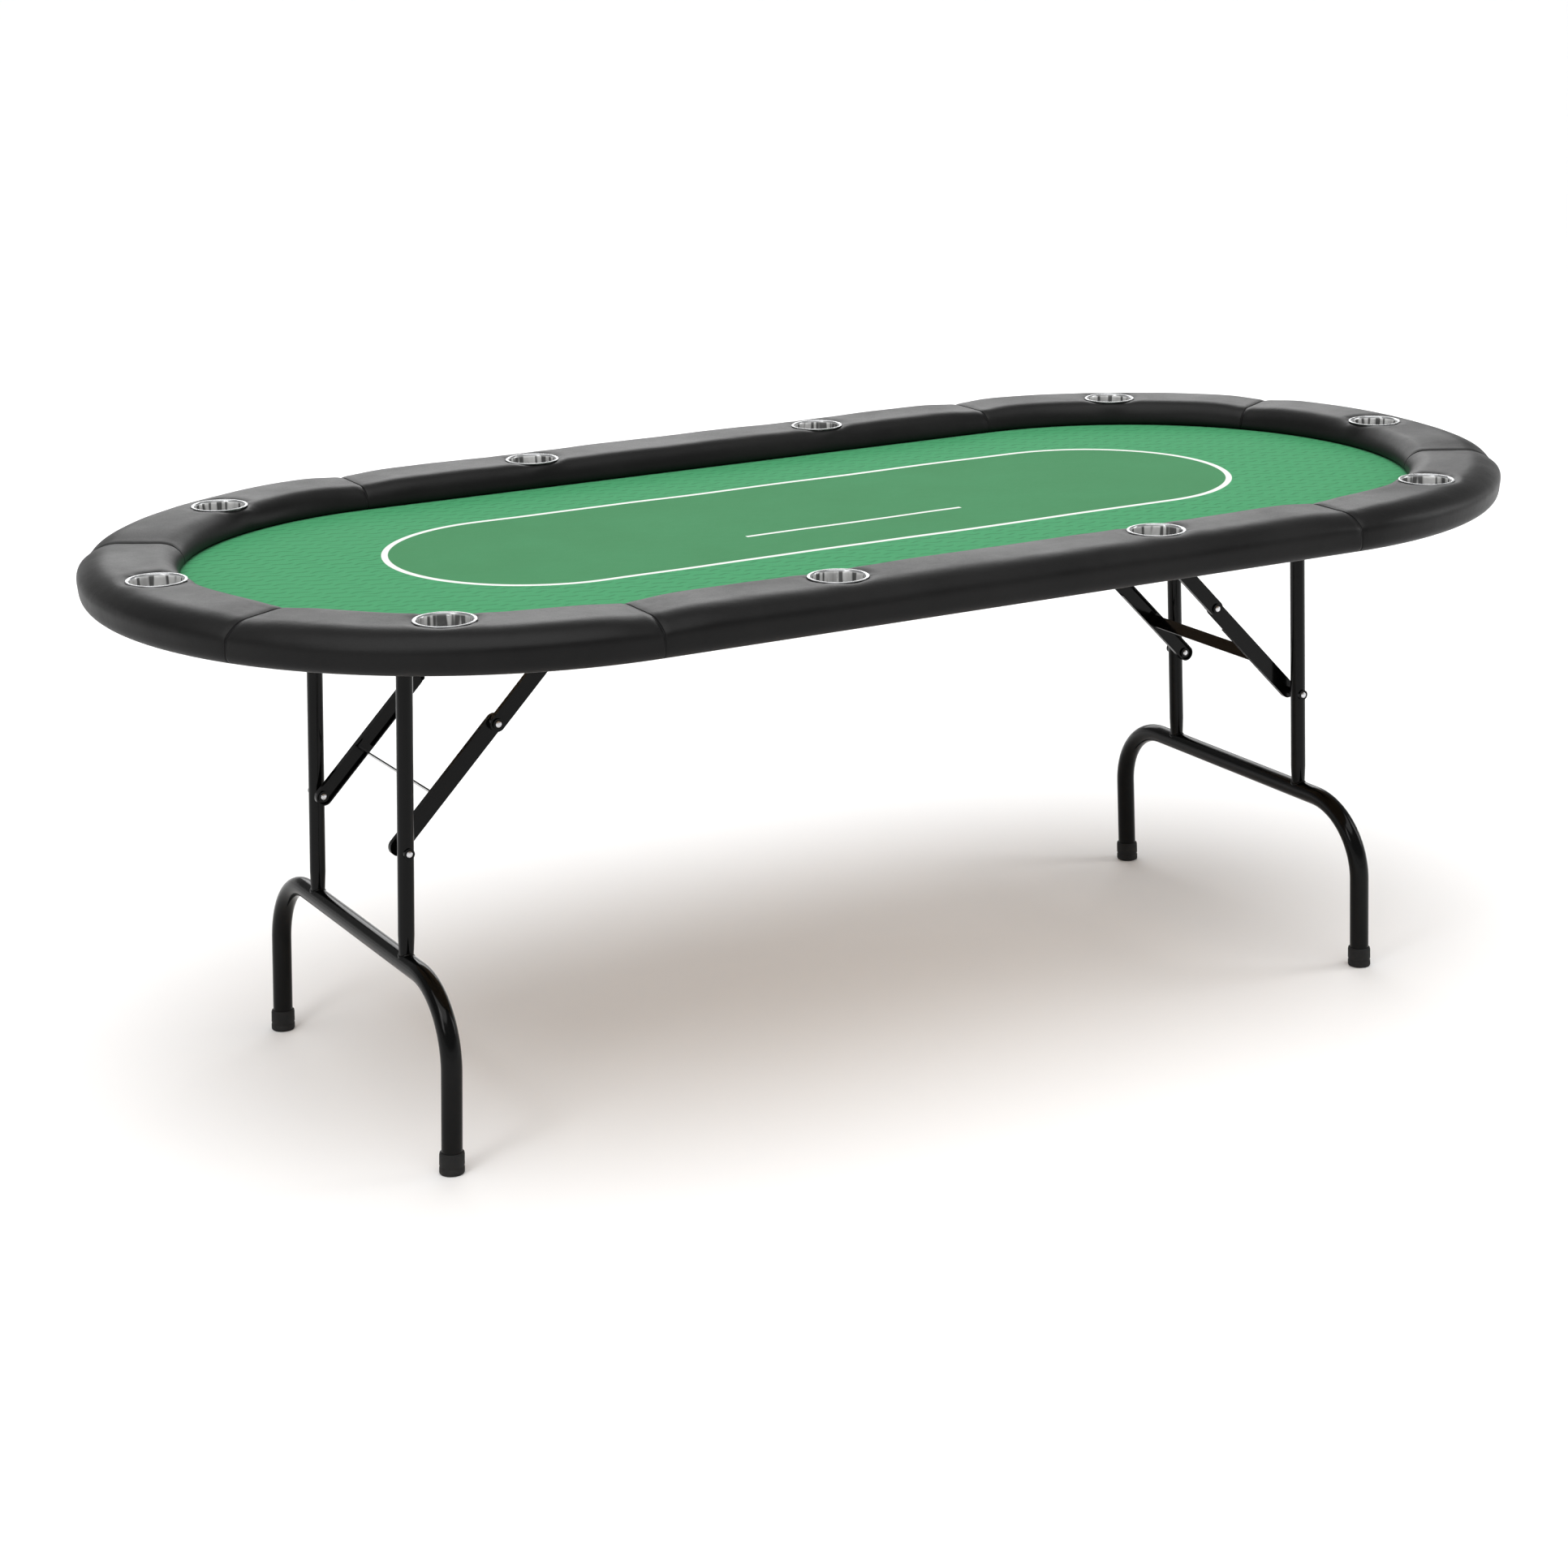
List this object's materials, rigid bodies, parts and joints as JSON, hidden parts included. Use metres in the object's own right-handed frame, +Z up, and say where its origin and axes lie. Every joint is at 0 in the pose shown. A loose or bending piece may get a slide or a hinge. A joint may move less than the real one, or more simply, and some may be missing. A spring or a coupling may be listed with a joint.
{
  "type": "folding poker table",
  "caption": "Oval folding card table with a padded rail, drink holders set in the rail, a cloth playing surface and two hinged tubular leg frames with folding braces.",
  "frame": {"origin": "on the floor under the middle of the table", "axes": "+X along the table, +Y across it towards the back, +Z up"},
  "size_m": [2.1336, 1.0668, 0.762],
  "materials": {
    "vinyl": "satin black upholstery vinyl with a fine grain",
    "cloth": "matt green woven speed cloth with a fine pattern and a printed white line",
    "wood": "raw board",
    "foam": "open-cell foam",
    "stainless": "pressed stainless steel with a bright rim",
    "black_steel": "gloss black powder coat",
    "zinc_plate": "zinc-plated pressed sheet",
    "zinc_fasteners": "zinc-plated rivets and screws",
    "rubber": "matt black moulded rubber"
  },
  "bodies": {
    "table_top": {"base_board": "wood", "batten_left": "wood", "batten_right": "wood", "brace_brackets_left": "zinc_plate", "brace_brackets_right": "zinc_plate", "cup_holder_01": "stainless", "cup_holder_02": "stainless", "cup_holder_03": "stainless", "cup_holder_04": "stainless", "cup_holder_05": "stainless", "cup_holder_06": "stainless", "cup_holder_07": "stainless", "cup_holder_08": "stainless", "cup_holder_09": "stainless", "cup_holder_10": "stainless", "hardware_left": "zinc_fasteners", "hardware_right": "zinc_fasteners", "hinge_saddles_left": "zinc_plate", "hinge_saddles_right": "zinc_plate", "playing_cloth": "cloth", "playing_foam": "foam", "rail_base": "wood", "rail_cover_back": "vinyl", "rail_cover_front": "vinyl", "rail_cover_left_1": "vinyl", "rail_cover_left_2": "vinyl", "rail_cover_left_3": "vinyl", "rail_cover_right_1": "vinyl", "rail_cover_right_2": "vinyl", "rail_cover_right_3": "vinyl", "rail_foam": "foam"},
    "leg_frame_right": {"foot_cap_back_right": "rubber", "foot_cap_front_right": "rubber", "foot_tube_right": "black_steel", "leg_rivets_right": "zinc_fasteners", "pivot_tube_right": "black_steel", "upright_back_right": "black_steel", "upright_front_right": "black_steel"},
    "lower_brace_right": {"cross_plate_right": "black_steel", "lower_rivets_right": "zinc_fasteners", "lower_strut_back_right": "black_steel", "lower_strut_front_right": "black_steel"},
    "upper_brace_right": {"upper_rivets_right": "zinc_fasteners", "upper_strut_back_right": "black_steel", "upper_strut_front_right": "black_steel"},
    "leg_frame_left": {"foot_cap_back_left": "rubber", "foot_cap_front_left": "rubber", "foot_tube_left": "black_steel", "leg_rivets_left": "zinc_fasteners", "pivot_tube_left": "black_steel", "upright_back_left": "black_steel", "upright_front_left": "black_steel"},
    "lower_brace_left": {"cross_plate_left": "black_steel", "lower_rivets_left": "zinc_fasteners", "lower_strut_back_left": "black_steel", "lower_strut_front_left": "black_steel"},
    "upper_brace_left": {"upper_rivets_left": "zinc_fasteners", "upper_strut_back_left": "black_steel", "upper_strut_front_left": "black_steel"}
  },
  "joints": [
    {"name": "leg_fold_right", "type": "hinge", "parent": "table_top", "child": "leg_frame_right", "pos_m": [0.7179, 0, 0.673], "axis": [0, 1, 0], "range_deg": [0, 92.54]},
    {"name": "lower_brace_turn_right", "type": "hinge", "parent": "leg_frame_right", "child": "lower_brace_right", "pos_m": [0.73023, 0, 0.39497], "axis": [0, 1, 0], "range_deg": [0, 40]},
    {"name": "upper_brace_turn_right", "type": "hinge", "parent": "table_top", "child": "upper_brace_right", "pos_m": [0.4396, 0, 0.691], "axis": [0, 1, 0], "range_deg": [-43.6, 0]},
    {"name": "leg_fold_left", "type": "hinge", "parent": "table_top", "child": "leg_frame_left", "pos_m": [-0.7179, 0, 0.673], "axis": [0, -1, 0], "range_deg": [0, 92.54]},
    {"name": "lower_brace_turn_left", "type": "hinge", "parent": "leg_frame_left", "child": "lower_brace_left", "pos_m": [-0.73023, 0, 0.39497], "axis": [0, -1, 0], "range_deg": [0, 40]},
    {"name": "upper_brace_turn_left", "type": "hinge", "parent": "table_top", "child": "upper_brace_left", "pos_m": [-0.4396, 0, 0.691], "axis": [0, -1, 0], "range_deg": [-43.6, 0]}
  ],
  "couplings": [
    {"joint": "lower_brace_turn_right", "follows": "leg_fold_right", "ratio": 0.42626},
    {"joint": "upper_brace_turn_right", "follows": "leg_fold_right", "ratio": -0.4651},
    {"joint": "lower_brace_turn_left", "follows": "leg_fold_left", "ratio": 0.42626},
    {"joint": "upper_brace_turn_left", "follows": "leg_fold_left", "ratio": -0.4651}
  ]
}
